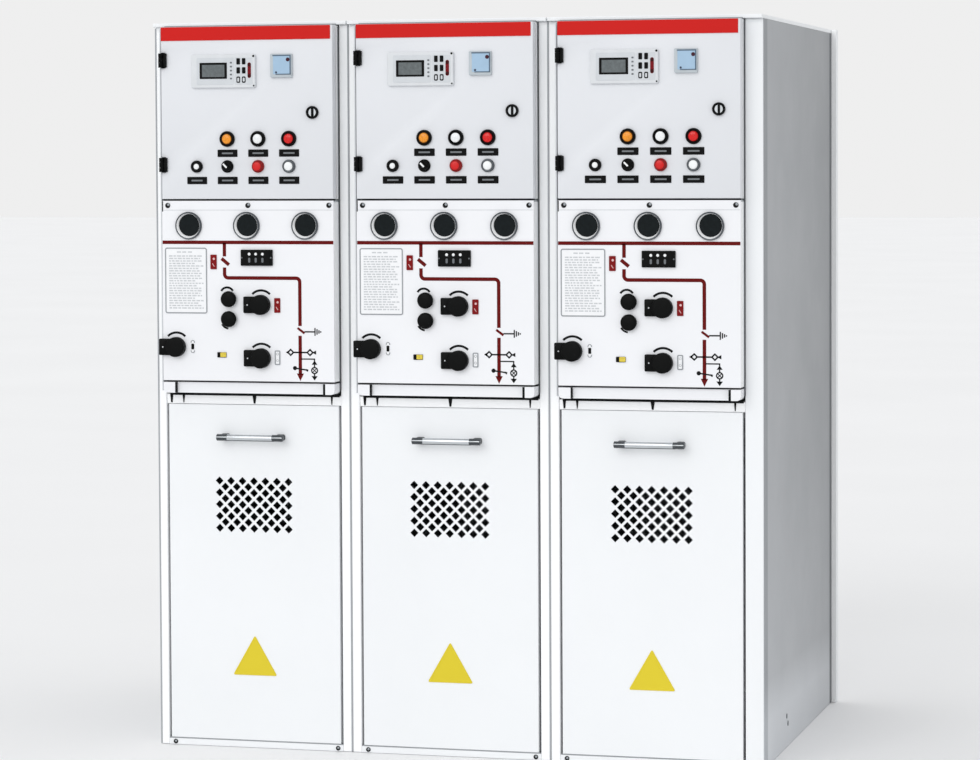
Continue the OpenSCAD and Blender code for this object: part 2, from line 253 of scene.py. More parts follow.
M = {
    "white": powder_coat("white_powder_coat", "#EBEDEF", 0.40),
    # brighter copy of the white coat: painted light on posts, hood cheeks, transoms, the transom lip, jambs, sight
    # bores and the rear flange face, which sit in shade
    "bright": powder_coat("white_coat_painted_light", "#F8F9FA", 0.40),
    "panel": powder_coat("panel_powder_coat", "#EAEBEE", 0.43),
    "door": powder_coat("door_powder_coat", "#DADCE0", 0.43),
    # the end sheet and its lap take the painted shade gradient
    "skin": powder_coat("grey_powder_coat", "#D2D5D9", 0.50, 0.03, 0.12, 0.35, True),
    "lap": powder_coat("lap_grey", "#B3B7BC", 0.50, 0.03, 0.12, 0.35, True),
    # pale grey for the unit joints and for painted shade and shadow lines
    "joint_and_shade_grey": powder_coat("joint_and_shade_grey", "#A0A3A7", 0.55, 0.03, 0.12, 0.2),
    # dark grey for the strip along the end sheet's rear edge: painted shadow
    "seam": powder_coat("rear_edge_painted_shadow", "#6A6D70", 0.55, 0.03, 0.12, 0.2),
    "zinc": zinc("galvanised_sheet", "#B4B8BB"),
    "chrome": polished("ring_chrome", "#DDE1E4", 0.10),
    "glass": glass("sight_glass", "#0D1315", 0.10, 0.12, 0.0),
    "black_metal": moulded("black_enamel", "#060707", 0.38, 0.05, 700.0, 0.10, 0.0, 0.08),
    "black": moulded("black_moulding", "#060707", 0.44, 0.06, 900.0, 0.12, 0.0, 0.09),
    "flag_red": moulded("flag_red", "#7A0B0F", 0.36, 0.05, 900.0, 0.06, 0.0, 0.12),
    "header": powder_coat("header_red", "#C6140F", 0.36, 0.03, 0.05, 0.15),
    "relay": moulded("relay_case", "#D3D6D9", 0.42, 0.025),
    "relay_face": moulded("relay_face_sheet", "#C9CDD1", 0.46, 0.03, 1200.0, 0.05),
    "screen": glass("relay_screen", "#4C5355", 0.16),
    "meter": moulded("meter_face", "#9EBAD2", 0.40, 0.03, 1200.0, 0.04, 0.1, 0.25),
    "meter_frame": moulded("meter_frame", "#B4BCC1", 0.42, 0.04),
    # dark blue-grey for the strips round the meter face: painted shade
    "meter_face_shade": moulded("meter_face_shade", "#56687A", 0.42, 0.04, 900.0, 0.06, 0.0, 0.2),
    "meter_dark": moulded("meter_lamp", "#3C0A1E", 0.34, 0.05, 900.0, 0.05, 0.1, 0.2),
    "steel": brushed("bar_steel", "#CDD1D4", "x"),
    "screw": brushed("screw_zinc", "#9EA3A7", "z", 0.34),
    "grip_end": moulded("grip_end", "#45494D", 0.36, 0.06),
    "line_red": printed("mimic_red", "#620A0A", 0.5, 0.1),
    "ink": printed("mimic_black", "#101112", 0.5, 0.1),
    "ink_grey": printed("rule_grey", "#93979B"),
    "ink_white": printed("mark_white", "#F2F3F4"),
    "plate_white": moulded("plate_white", "#ECEDEF", 0.40, 0.02, 1200.0, 0.04),
    "lens_orange": lens("lens_orange", "#F89B25"),
    "lens_white": lens("lens_white", "#ECEEEF", 0.90),
    "lens_red": lens("lens_red", "#E01512"),
    "cap_red": moulded("button_red", "#CC1414", 0.32, 0.05, 900.0, 0.05, 0.15, 0.25),
    "cap_white": moulded("button_white", "#EDEFF0", 0.34, 0.02, 900.0, 0.05, 0.3),
    "yellow": powder_coat("plate_yellow", "#D9C52E", 0.38, 0.03, 0.05, 0.2),
    "lamp_yellow": lens("lens_yellow", "#E8D04A"),
    # near-black for the notch, slots and joint gaps: painted shade
    "dark": moulded("gap_painted_shade", "#0E1011", 0.60, 0.05, 900.0, 0.12, 0.0, 0.1),
    # chrome darkened: painted reflections and shade on the sight rims and the white button's bezel
    "chrome_painted_dark": brushed("ring_chrome_painted_dark", "#5A5E62", "z", 0.34),
    "screw_black": moulded("screw_black", "#0B0C0D", 0.34, 0.05, 700.0, 0.10, 0.0, 0.2),
    "dark_red": moulded("key_dark_red", "#740C16", 0.34, 0.05, 900.0, 0.05, 0.0, 0.12),
    "collar_brown": moulded("collar_brown", "#4A2A0C", 0.36, 0.05, 900.0, 0.05, 0.0, 0.15),
    # darker red for the red button's sloping side: painted shade
    "cap_red_shade": moulded("button_edge_red", "#8A1414", 0.34, 0.05, 900.0, 0.05, 0.0, 0.2),
    "deep_red": moulded("key_deep_red", "#3C0508", 0.34, 0.05, 900.0, 0.05, 0.0, 0.12),
    "dark_blue": moulded("key_dark_blue", "#1F2A44", 0.36, 0.05),
    "socket_grey": moulded("socket_grey", "#63676B", 0.42, 0.05),
    "ink_pale": printed("rule_pale", "#C4C7CA"),
    "ink_label": printed("label_pale", "#74787B"),
    "mark_pink": printed("mark_pink", "#DDB4B4"),
    # pale grey for the strips beside the hoods: painted shade
    "trim": powder_coat("hood_edge_painted_shade", "#C6C9CC", 0.5, 0.03),
}


# ---------------------------------------------------------------- mesh building
class Build:
    """Collects closed shells, in unit coordinates of unit k."""

    def __init__(self, k):
        self.k, self.v, self.f, self.s = k, [], [], []

    def add(self, verts, faces, smooth=False):
        b = len(self.v)
        self.v += [P(self.k, *p) for p in verts]
        self.f += [tuple(b + i for i in q) for q in faces]
        self.s += [smooth] * len(faces) if isinstance(smooth, bool) else list(smooth)

    def loft(self, rings, smooth=False):
        """Rings of equal length in XZ order seen from the front, back ring first."""
        n = len(rings[0])
        verts = [p for r in rings for p in r]
        faces, sm = [], []
        for i in range(len(rings) - 1):
            for j in range(n):
                a, b = i * n + j, i * n + (j + 1) % n
                faces.append((a, b, b + n, a + n))
                sm.append(smooth)
        faces.append(tuple(range(n - 1, -1, -1)))
        faces.append(tuple((len(rings) - 1) * n + j for j in range(n)))
        self.add(verts, faces, sm + [False, False])

    def slab(self, outline, y_back, y_front, edge=0.0):
        """A prism of an XZ outline, its front edge eased when edge is given (outline is a function of inset)."""
        if callable(outline):
            steps = [(0.0, y_back), (0.0, y_front + edge), (edge * 0.3, y_front + edge * 0.3), (edge, y_front)] if edge else [(0.0, y_back), (0.0, y_front)]
            self.loft([[(x, y, z) for x, z in outline(i)] for i, y in steps])
        else:
            self.loft([[(x, y_back, z) for x, z in outline], [(x, y_front, z) for x, z in outline]])

    def rect(self, x0, x1, z0, z1, r, y_back, y_front, edge=0.0, seg=6):
        self.slab(lambda i: rounded(x0 + i, x1 - i, z0 + i, z1 - i, max(r - i, 0.05), seg), y_back, y_front, edge)

    def lathe(self, cx, cz, prof, seg=56):
        """Profile of (radius, y), first and last on or off the axis, turned about Y."""
        rings = []
        for r, y in prof:
            rings.append([(cx + max(r, 0.02) * math.cos(2 * math.pi * j / seg), y, cz + max(r, 0.02) * math.sin(2 * math.pi * j / seg)) for j in range(seg)])
        self.loft(rings)

    def turn_x(self, cy, cz, prof, seg=40):
        """Profile of (x, radius) turned about a line along X."""
        self.loft([[(x, cy + r * math.cos(2 * math.pi * j / seg), cz + r * math.sin(2 * math.pi * j / seg)) for j in range(seg)] for x, r in prof])

    def ring(self, cx, cz, prof, seg=64):
        """A closed profile of (radius, y), or (radius, y, dx, dz) for a circle off the axis, turned about Y."""
        n = len(prof)
        prof = [tuple(q) + (0.0, 0.0) if len(q) == 2 else q for q in prof]
        verts, faces = [], []
        for j in range(seg):
            a = 2 * math.pi * j / seg
            verts += [(cx + dx + r * math.cos(a), y, cz + dz + r * math.sin(a)) for r, y, dx, dz in prof]
        for j in range(seg):
            for i in range(n):
                a, b = j * n + i, j * n + (i + 1) % n
                c, d = ((j + 1) % seg) * n + (i + 1) % n, ((j + 1) % seg) * n + i
                faces.append((a, b, c, d))
        self.add(verts, faces)

    def stroke(self, pts, w, y_back=FY + 0.2, y_front=FY - PROUD, closed=False):
        """A flat band of width w along an XZ polyline."""
        n = len(pts)
        left, right = [], []
        for i, (x, z) in enumerate(pts):
            if closed:
                p, q = pts[i - 1], pts[(i + 1) % n]
            else:
                p, q = pts[max(i - 1, 0)], pts[min(i + 1, n - 1)]
            d1 = unit2(x - p[0], z - p[1]) if (x, z) != p else None
            d2 = unit2(q[0] - x, q[1] - z) if (x, z) != q else None
            d1 = d1 or d2
            d2 = d2 or d1
            nx, nz = -(d1[1] + d2[1]), d1[0] + d2[0]
            l = math.hypot(nx, nz) or 1.0
            nx, nz = nx / l, nz / l
            cosh = max(0.5, nx * -d1[1] + nz * d1[0])
            left.append((x + nx * w / 2 / cosh, z + nz * w / 2 / cosh))
            right.append((x - nx * w / 2 / cosh, z - nz * w / 2 / cosh))
        if closed:
            verts, faces = [], []
            for i in range(n):
                verts += [(left[i][0], y_back, left[i][1]), (right[i][0], y_back, right[i][1]), (right[i][0], y_front, right[i][1]), (left[i][0], y_front, left[i][1])]
            for i in range(n):
                a, b = 4 * i, 4 * ((i + 1) % n)
                for s in range(4):
                    faces.append((a + s, a + (s + 1) % 4, b + (s + 1) % 4, b + s))
            self.add(verts, faces)
        else:
            verts, faces = [], []
            for i in range(n):
                verts += [(left[i][0], y_back, left[i][1]), (right[i][0], y_back, right[i][1]), (right[i][0], y_front, right[i][1]), (left[i][0], y_front, left[i][1])]
            for i in range(n - 1):
                a, b = 4 * i, 4 * (i + 1)
                for s in range(4):
                    faces.append((a + s, a + (s + 1) % 4, b + (s + 1) % 4, b + s))
            faces.append((3, 2, 1, 0))
            e = 4 * (n - 1)
            faces.append((e, e + 1, e + 2, e + 3))
            self.add(verts, faces)

    def poly(self, pts, y_back=FY + 0.2, y_front=FY - PROUD):
        self.slab(list(pts), y_back, y_front)

    def disc(self, cx, cz, r, y_back=FY + 0.2, y_front=FY - PROUD, seg=32):
        self.poly([(cx + r * math.cos(2 * math.pi * j / seg), cz + r * math.sin(2 * math.pi * j / seg)) for j in range(seg)], y_back, y_front)

    def make(self, name, mat, body, slot, replaces=(), bevel=0.0, seg=2, angle=40.0, smooth=0.0):
        me = bpy.data.meshes.new(name)
        me.from_pydata(self.v, [], self.f)
        me.materials.append(M[mat])
        me.validate()
        import bmesh
        bm = bmesh.new()
        bm.from_mesh(me)
        bmesh.ops.recalc_face_normals(bm, faces=bm.faces)
        if smooth:
            for f in bm.faces:
                f.smooth = True
            for e in bm.edges:
                e.smooth = len(e.link_faces) == 2 and e.calc_face_angle(0.0) < math.radians(smooth)
        bm.to_mesh(me)
        bm.free()
        o = bpy.data.objects.new(name, me)
        bpy.context.scene.collection.objects.link(o)
        if bevel:
            bevelled(o, bevel, seg, angle)
        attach(o, body)
        if replaces:
            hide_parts(*replaces)
        return o


def unit2(x, z):
    l = math.hypot(x, z) or 1.0
    return (x / l, z / l)


def rounded(x0, x1, z0, z1, r, seg=6):
    """Outline of a rounded rectangle, anticlockwise from the lower right corner."""
    r = min(r, (x1 - x0) / 2 - 0.01, (z1 - z0) / 2 - 0.01)
    out = []
    for cx, cz, a0 in ((x1 - r, z0 + r, -90), (x1 - r, z1 - r, 0), (x0 + r, z1 - r, 90), (x0 + r, z0 + r, 180)):
        for j in range(seg + 1):
            a = math.radians(a0 + 90.0 * j / seg)
            out.append((cx + r * math.cos(a), cz + r * math.sin(a)))
    return out


def inset(poly, d):
    """Polygon, anticlockwise, with every side moved inwards by d."""
    if not d:
        return list(poly)
    out, n = [], len(poly)
    for i in range(n):
        p, q, r = poly[i - 1], poly[i], poly[(i + 1) % n]
        a, b = unit2(q[0] - p[0], q[1] - p[1]), unit2(r[0] - q[0], r[1] - q[1])
        na, nb = (-a[1], a[0]), (-b[1], b[0])
        c = 1.0 + na[0] * nb[0] + na[1] * nb[1]
        out.append((q[0] + (na[0] + nb[0]) * d / c, q[1] + (na[1] + nb[1]) * d / c))
    return out


def arc(cx, cz, r, a0, a1, n=14):
    return [(cx + r * math.cos(math.radians(a0 + (a1 - a0) * i / n)), cz + r * math.sin(math.radians(a0 + (a1 - a0) * i / n))) for i in range(n + 1)]


def bevelled(o, width, seg=2, angle=40.0):
    b = o.modifiers.new("edges", "BEVEL")
    b.width = width
    b.segments = seg
    b.limit_method = "ANGLE"
    b.angle_limit = math.radians(angle)
    b.harden_normals = False
    return b


def dress(name, mat, bevel=0.0, seg=2, angle=40.0):
    """Finish on a carried-over CAD node, with its edges eased."""
    o = NODES[name]
    if not o.material_slots:
        o.data.materials.append(M[mat])
    for s in o.material_slots:
        s.link = "OBJECT"
        s.material = M[mat]
    if bevel:
        w = o.modifiers.new("weld", "WELD")
        w.merge_threshold = 0.00002
        bevelled(o, bevel, seg, angle)
    return o


# ---------------------------------------------------------------- CAD nodes that stay
dress("base_rails", "white", 0.0010)
dress("floor_plates", "zinc", 0.0006)
# corner posts in the brighter white: painted light against the shade between the hoods
dress("corner_posts", "bright", 0.0022, 3)
dress("end_frames", "white", 0.0022, 3)
dress("end_skins", "skin", 0.0006)
dress("partition_walls", "zinc", 0.0005)
dress("rear_covers", "panel", 0.0010)
dress("roof_plates", "white", 0.0018, 3)
dress("lv_cheeks", "zinc", 0.0005)
dress("lv_backs", "zinc", 0.0005)
dress("shelves", "zinc", 0.0006)
# hood cheeks here and transoms below in the brighter white: painted light on faces in shade
dress("hood_cheeks", "bright", 0.0007)
dress("mimic_panels", "panel")
dress("ledge_rails", "panel", 0.0012, 3)
dress("transoms", "bright", 0.0010)
dress("hinge_brackets", "black_metal", 0.0006)
for i in (1, 2, 3):
    dress("header_strip_%d" % i, "header", 0.0005)
    dress("door_hinges_%d" % i, "black_metal", 0.0006)

LAMP_X = (105.5, 171.9, 238.3, 304.7)
ROW1, ROW2 = 1260.5, 1204.3
LOCK_X, LOCK_Z = 355.5, 1313.5


# ---------------------------------------------------------------- instrument doors
def door_details(k):
    body = "door_%d" % (k + 1)
    n = "%d" % (k + 1)

    # door leaf: folded pan with eased edges and a notch at each hinge
    b = Build(k)
    side = [(28.0, 1491.0)]
    for z in (1422.5, 1208.0):
        side += [(28.0, z + 15.5), (37.0, z + 15.5), (37.0, z - 15.5), (28.0, z - 15.5)]
    leaf = [(398.5, 1137.6), (398.5, 1491.0)] + side + [(28.0, 1137.6)]
    rings = ((2.0, FY + 2.5), (2.0, FY + 20.0), (0.0, FY + 20.0), (0.0, FY + 2.2), (0.25, FY + 1.1), (0.8, FY + 0.35), (1.7, FY))
    b.loft([[(x, y, z) for x, z in inset(leaf, d)] for d, y in rings])
    b.make("door_leaf_" + n, "door", body, "panel_paint", ("door_panel_" + n,), 0.0, 2, 40, 38.0)

    # relay: case with a lip, face sheet, screen, keys and lamps
    b = Build(k)
    b.rect(96, 235, 1365, 1433.5, 4, FY, FY - 6.6, 1.8)
    b.rect(101, 230, 1370.5, 1428.5, 2, 8, FY + 0.5)
    b.make("relay_case_" + n, "relay", body, "relay_plastic", ("relay_" + n,), 0.0003)
    b = Build(k)
    b.rect(108.5, 188.5, 1371.5, 1426.5, 2.5, FY - 6.0, FY - 7.1, 0.4)
    b.rect(190.5, 229.0, 1371.5, 1426.5, 2.5, FY - 6.0, FY - 7.1, 0.4)
    b.make("relay_face_" + n, "relay_face", body, "relay_plastic")
    b = Build(k)
    b.rect(115.2, 174.4, 1383.5, 1416.6, 1.2, FY - 6.5, FY - 7.7, 0.4)
    for x in (198.9, 210.8):
        for z in (1418.8, 1400.3):
            b.rect(x - 3.8, x + 3.8, z - 6.4, z + 6.4, 1.6, FY - 6.5, FY - 8.0, 0.5)
    b.lathe(231.4, 1429.4, [(2.3, FY - 6.2), (2.3, FY - 7.2), (1.7, FY - 7.5), (0, FY - 7.5)], 18)
    b.lathe(231.8, 1369.0, [(1.7, FY - 6.2), (1.7, FY - 7.2), (1.2, FY - 7.5), (0, FY - 7.5)], 18)
    for x in (198.9, 210.8):
        b.rect(x - 4.0, x + 4.0, 1374.9, 1388.0, 2.6, FY - 6.5, FY - 7.5, 0.2)
    b.make("relay_keys_" + n, "black", body, "black_plastic", (), 0.0)
    b = Build(k)
    for i in range(5):
        b.rect(181.0, 185.4, 1414.6 - 8.1 * i, 1418.0 - 8.1 * i, 0.8, FY - 6.8, FY - 7.3, 0.0, 3)
    b.make("relay_lamps_" + n, "socket_grey", body, "black_plastic")
    b = Build(k)
    b.rect(120.6, 169.2, 1387.4, 1412.2, 0.6, FY - 7.3, FY - 7.85)
    b.make("relay_screen_" + n, "screen", body, "dark_glass")
    b = Build(k)
    for x in (198.9, 210.8):
        b.rect(x - 2.0, x + 2.0, 1377.4, 1385.4, 1.4, FY - 7.2, FY - 8.0, 0.4)
    b.make("relay_pale_keys_" + n, "relay_face", body, "relay_plastic")
    b = Build(k)
    b.rect(218.8, 226.4, 1384.6, 1416.4, 3.6, FY - 6.5, FY - 7.4, 0.3)
    b.lathe(222.6, 1400.5, [(3.6, FY - 6.5), (3.6, FY - 7.3), (2.8, FY - 7.9), (0, FY - 8.0)], 26)
    b.make("relay_reset_keys_" + n, "dark_red", body, "indicator_red")
    b = Build(k)
    for z in (1389.4, 1411.6):
        b.lathe(222.6, z, [(3.7, FY - 6.9), (3.7, FY - 7.6), (2.9, FY - 8.1), (0, FY - 8.2)], 26)
    b.make("relay_end_keys_" + n, "deep_red", body, "indicator_red")

    # meter
    b = Build(k)
    b.rect(267, 313.5, 1385, 1433.5, 2.5, FY, FY - 6.6, 1.4)
    b.rect(271, 309, 1388.5, 1429.5, 1, 8, FY + 0.5)
    b.make("meter_frame_" + n, "meter_frame", body, "relay_plastic", ("meter_" + n,), 0.0003)
    b = Build(k)
    b.rect(273.8, 310.4, 1391.6, 1430.0, 1.5, FY - 6.2, FY - 7.3, 0.4)
    b.make("meter_face_" + n, "meter", body, "meter_face")
    b = Build(k)
    b.lathe(305.4, 1421.4, [(4.0, FY - 7.0), (4.0, FY - 7.6), (3.2, FY - 7.9), (0, FY - 7.9)], 28)
    b.make("meter_lamp_" + n, "meter_dark", body, "indicator_red")
    b = Build(k)
    b.lathe(280.4, 1395.4, [(2.2, FY - 7.0), (2.2, FY - 7.6), (0, FY - 7.8)], 20)
    b.make("meter_keys_" + n, "dark_blue", body, "black_plastic")
    # painted shade: dark strips along the top, right and lower edges of the face, where the frame shades it
    b = Build(k)
    b.rect(272.6, 311.6, 1428.4, 1431.0, 0.5, FY - 6.4, FY - 7.6, 0.2, 3)
    b.rect(309.2, 311.6, 1391.4, 1428.8, 0.4, FY - 6.4, FY - 7.6, 0.2, 3)
    b.rect(279.0, 311.6, 1390.6, 1392.6, 0.4, FY - 6.4, FY - 7.6, 0.2, 3)
    b.make("meter_face_shade_" + n, "meter_face_shade", body, "relay_plastic")

    # pilot lamps, key switch, selector and push buttons
    b = Build(k)
    for i in (1, 2, 3):
        b.ring(LAMP_X[i], ROW1, [(16, FY), (16, FY - 4.2), (14.9, FY - 5.8), (13.2, FY - 6.0), (11.9, FY - 5.0), (11.2, FY - 4.0), (11.2, FY)])
    b.ring(LAMP_X[0], ROW2, [(12.5, FY), (12.5, FY - 4.4), (11.4, FY - 5.8), (9.0, FY - 6.2), (6.2, FY - 5.4), (5.8, FY - 4.6), (5.8, FY)])
    b.lathe(LAMP_X[1], ROW2, [(12.8, FY), (12.8, FY - 3.4), (11.8, FY - 4.6), (10.6, FY - 5.0), (10.4, FY - 7.6), (9.4, FY - 8.6), (0, FY - 8.6)])
    d = 1 / math.sqrt(2)
    bar = [(-9.6, -3.4), (9.6, -3.4), (9.6, 3.4), (-9.6, 3.4)]
    b.slab([(LAMP_X[1] + (p + q) * d, ROW2 + (q - p) * d) for p, q in bar], FY - 8.2, FY - 13.6)
    for i in range(4):
        b.lathe(LAMP_X[i], ROW2, [(0, 0), (11, 0), (11, FY + 0.5), (0, FY + 0.5)], 32)
        if i:
            b.lathe(LAMP_X[i], ROW1, [(0, 0), (11, 0), (11, FY + 0.5), (0, FY + 0.5)], 32)
    b.make("lamp_bezels_" + n, "black", body, "black_plastic", ("pilot_lamps_" + n,), 0.0005, 2, 50.0, 35.0)
    for i, mat in ((1, "lens_orange"), (2, "lens_white"), (3, "lens_red")):
        b = Build(k)
        b.lathe(LAMP_X[i], ROW1, [(9.8, FY), (9.8, FY - 5.6), (9.2, FY - 6.8), (7.4, FY - 7.5), (4.4, FY - 7.9), (0, FY - 8.0)])
        b.make("lamp_%s_%s" % (mat[5:], n), mat, body, "indicator_red", (), 0.0, 2, 40, 50.0)
        b = Build(k)
        b.ring(LAMP_X[i], ROW1, [(11.4, FY), (11.4, FY - 5.0), (10.9, FY - 5.7), (9.9, FY - 5.9), (9.75, FY - 5.2), (9.75, FY)])
        b.make("collar_%s_%s" % (mat[5:], n), {"lens_orange": "collar_brown", "lens_white": "black", "lens_red": "deep_red"}[mat], body, "black_plastic", (), 0.0, 2, 40, 50.0)
    b = Build(k)
    b.lathe(LAMP_X[0], ROW2, [(5.9, FY), (5.9, FY - 5.2), (5.0, FY - 6.4), (0, FY - 6.8)])
    b.poly([(LAMP_X[1] + (p + q) * d, ROW2 + (q - p) * d) for p, q in ((-7.6, -1.7), (3.4, -1.7), (3.4, 1.7), (-7.6, 1.7))], FY - 13.4, FY - 13.95)
    b.lathe(LAMP_X[3], ROW2, [(8.9, FY), (8.9, FY - 7.2), (8.1, FY - 8.2), (4.4, FY - 8.7), (0, FY - 8.8)])
    b.make("button_white_" + n, "cap_white", body, "relay_plastic", (), 0.0, 2, 40, 50.0)
    # the white button's chrome bezel, painted dark: painted reflection and shade
    b = Build(k)
    b.ring(LAMP_X[3], ROW2, [(13.4, FY), (13.4, FY - 5.0), (12.6, FY - 6.4), (10.6, FY - 6.8), (9.1, FY - 6.0), (9.0, FY)])
    b.make("button_ring_" + n, "chrome_painted_dark", body, "grip_metal", (), 0.0, 2, 40, 50.0)
    b = Build(k)
    b.lathe(LAMP_X[2], ROW2, [(8.6, FY - 6.0), (8.6, FY - 11.4), (7.8, FY - 12.0), (4.4, FY - 12.3), (0, FY - 12.4)])
    b.make("button_red_" + n, "cap_red", body, "indicator_red", (), 0.0, 2, 40, 50.0)
    # darker red ring round the red cap: painted shade on its sloping side
    b = Build(k)
    b.ring(LAMP_X[2], ROW2, [(13, FY), (13, FY - 4.5), (12.4, FY - 6.0), (11.2, FY - 6.8), (10.8, FY - 10.2), (9.8, FY - 11.4), (8.7, FY - 11.6), (8.55, FY)])
    b.make("button_edge_" + n, "cap_red_shade", body, "indicator_red", (), 0.0, 2, 40, 50.0)

    # label plates, each with one plain pale bar
    b, t = Build(k), Build(k)
    for row, some in ((1231.3, (1, 2, 3)), (1175.7, (0, 1, 2, 3))):
        for i in some:
            x = LAMP_X[i]
            b.rect(x - 21.5, x + 21.5, row - 7.5, row + 7.5, 1.2, FY + 0.2, FY - 1.2, 0.4, 4)
            t.rect(x - 12.0, x + 12.0, row - 1.6, row + 1.6, 0.8, FY - 1.0, FY - 1.4, 0.0, 3)
    b.make("label_plates_" + n, "black", body, "black_plastic")
    t.make("label_bars_" + n, "ink_label", body, "relay_plastic")

    # door lock: black escutcheon, steel barrel, lever across it
    b = Build(k)
    b.ring(LOCK_X, LOCK_Z, [(13, FY), (13, FY - 5.2), (11.8, FY - 6.8), (9.8, FY - 7.0), (8.6, FY - 5.8), (8.4, FY)])
    b.lathe(LOCK_X, LOCK_Z, [(0, FY + 16), (8, FY + 16), (8, FY), (0, FY)], 36)
    b.rect(LOCK_X - 1.8, LOCK_X + 2.6, LOCK_Z - 8.2, LOCK_Z + 8.2, 1.6, FY - 2.5, FY - 6.4, 0.6)
    b.make("lock_body_" + n, "black", body, "black_plastic", ("door_lock_" + n,), 0.0004, 2, 50.0, 35.0)
    b = Build(k)
    b.lathe(LOCK_X, LOCK_Z, [(8.5, FY), (8.5, FY - 3.2), (0, FY - 3.2)], 40)
    b.make("lock_barrel_" + n, "chrome", body, "ring_chrome", (), 0.0003)


# ---------------------------------------------------------------- mimic panel
SHAFTS = ((242.0, 921.0), (242.0, 811.5), (57.5, 833.0))
KNOBS = ((174.0, 932.5), (174.0, 891.5))


def up(z):
    """Height of a printed mark on the mimic panel."""
    return z + 1.0 + (1130.0 - z) * 0.00877


def ups(pts):
    return [(x, up(z)) for x, z in pts]


def mimic_details(k):
    n = "%d" % (k + 1)
    body = "cabinet"

    # sight glasses: rim in chrome painted dark, for its painted reflections and shade; white tapered bore in the
    # brighter white, its face set off so the white crescent is widest at the lower left as a painted highlight;
    # smoked pane at its end, set off with it
    b, t, g = Build(k), Build(k), Build(k)
    for x in (86.3, 211.9, 337.5):
        b.ring(x, 1083, [(28.4, FY + 0.2), (28.4, FY - 3.6), (28.0, FY - 5.2), (27.2, FY - 6.0), (25.9, FY - 5.8), (25.2, FY - 5.2), (25.2, FY + 0.2)], 72)
        t.ring(x, 1083, [(25.15, FY + 0.1), (25.15, FY - 5.0), (24.9, FY - 5.0), (22.8, FY - 0.2, 1.3, 1.3), (22.8, FY + 0.1, 1.3, 1.3)], 72)
        t.ring(x, 1083, [(23.4, FY + 0.2), (23.4, FY + 24), (22.0, FY + 24), (22.0, FY + 0.2)], 72)
        g.lathe(x + 1.3, 1084.3, [(0, FY + 0.15), (23.0, FY + 0.15), (23.0, FY - 0.35), (0, FY - 0.35)], 72)
    b.make("sight_rings_" + n, "chrome_painted_dark", body, "ring_chrome", (), 0.0, 2, 40, 40.0)
    t.make("sight_bores_and_highlights_" + n, "bright", body, "white_paint", (), 0.0, 2, 40, 40.0)
    g.make("sight_panes_" + n, "glass", body, "dark_glass", (), 0.0, 2, 40, 40.0)

    # diagram lines
    w = 7.2
    b = Build(k)
    b.stroke(ups([(28.6, 1047), (398.0, 1047)]), w)
    b.stroke(ups([(163.3, 1046), (163.3, 1018)]), w)
    b.stroke(ups([(157.0, 1013.5), (173.0, 1000.5)]), w)
    b.stroke(ups([(163.3, 995), (163.3, 981.5)] + arc(171.3, 981.5, 8, 180, 270, 8)[1:] + arc(317.5, 965.5, 8, 90, 0, 8) + [(325.5, 875)]), w)
    b.stroke(ups([(320.0, 871.0), (335.0, 860.0)]), 4.8)
    b.stroke(ups([(325.5, 855), (325.5, 775)]), w)
    b.poly(ups([(318.0, 777.0), (325.5, 761.5), (333.0, 777.0)]))
    b.make("diagram_lines_" + n, "line_red", body, "indicator_red")

    # diagram symbols
    b = Build(k)
    b.stroke(ups([(335.0, 863.2), (357.5, 863.2)]), 2.8)
    for x, h in ((357.5, 8.0), (361.8, 5.6), (366.0, 3.4), (369.8, 1.5)):
        b.stroke(ups([(x, 863.2 - h), (x, 863.2 + h)]), 2.5)
    b.stroke(ups([(311, 820.5), (340, 820.5)]), 3.0)
    for cx in (305.0, 346.5):
        b.stroke(ups([(cx - 6, 820.5), (cx, 814.5), (cx + 6, 820.5), (cx, 826.5)]), 3.0, FY + 0.2, FY - PROUD, True)
    b.poly(ups([(351.0, 820.5), (359.5, 816.2), (359.5, 824.8)]))
    b.poly(ups([(294.5, 820.5), (301.0, 816.6), (301.0, 824.4)]))
    b.stroke(ups([(327.5, 807.0), (356.0, 807.0), (356.0, 799.5)]), 2.5)
    b.poly(ups([(350.0, 795.5), (362.0, 795.5), (356.0, 804.0)]))
    b.stroke(ups([(356.0, 797.0), (356.0, 790.0)]), 2.6)
    b.stroke(ups(arc(356.0, 783.5, 6.2, 0, 345, 23)), 2.6, FY + 0.2, FY - PROUD, True)
    for a in (45, 135):
        c, d = 6.0 * math.cos(math.radians(a)), 6.0 * math.sin(math.radians(a))
        b.stroke(ups([(356 - c, 783.5 - d), (356 + c, 783.5 + d)]), 1.8, FY + 0.2, FY - PROUD + 0.05)
    b.stroke(ups([(356.0, 777.2), (356.0, 770.0)]), 2.6)
    b.poly(ups([(349.5, 772.0), (356.0, 763.0), (362.5, 772.0)]))
    b.stroke(ups([(314.0, 788.0), (340.5, 784.2)]), 2.8, FY + 0.2, FY - PROUD - 0.1)
    b.disc(314.0, up(788.0), 4.3)
    b.poly(ups([(337.5, 786.6), (338.4, 782.2), (341.6, 780.6), (342.8, 785.2)]))
    # travel arcs round the operating points
    for x, z in SHAFTS:
        b.stroke(arc(x, z + 2.2, 27.4, 134, 46, 22), 4.6)
    b.stroke(arc(KNOBS[0][0] - 5.4, KNOBS[0][1] + 9.0, 14.8, 150, 32, 20), 4.3)
    b.stroke(arc(KNOBS[1][0] - 1.6, KNOBS[1][1] - 2.0, 17.8, 210, 264, 16), 3.8)
    b.make("diagram_symbols_" + n, "ink", body, "black_plastic")

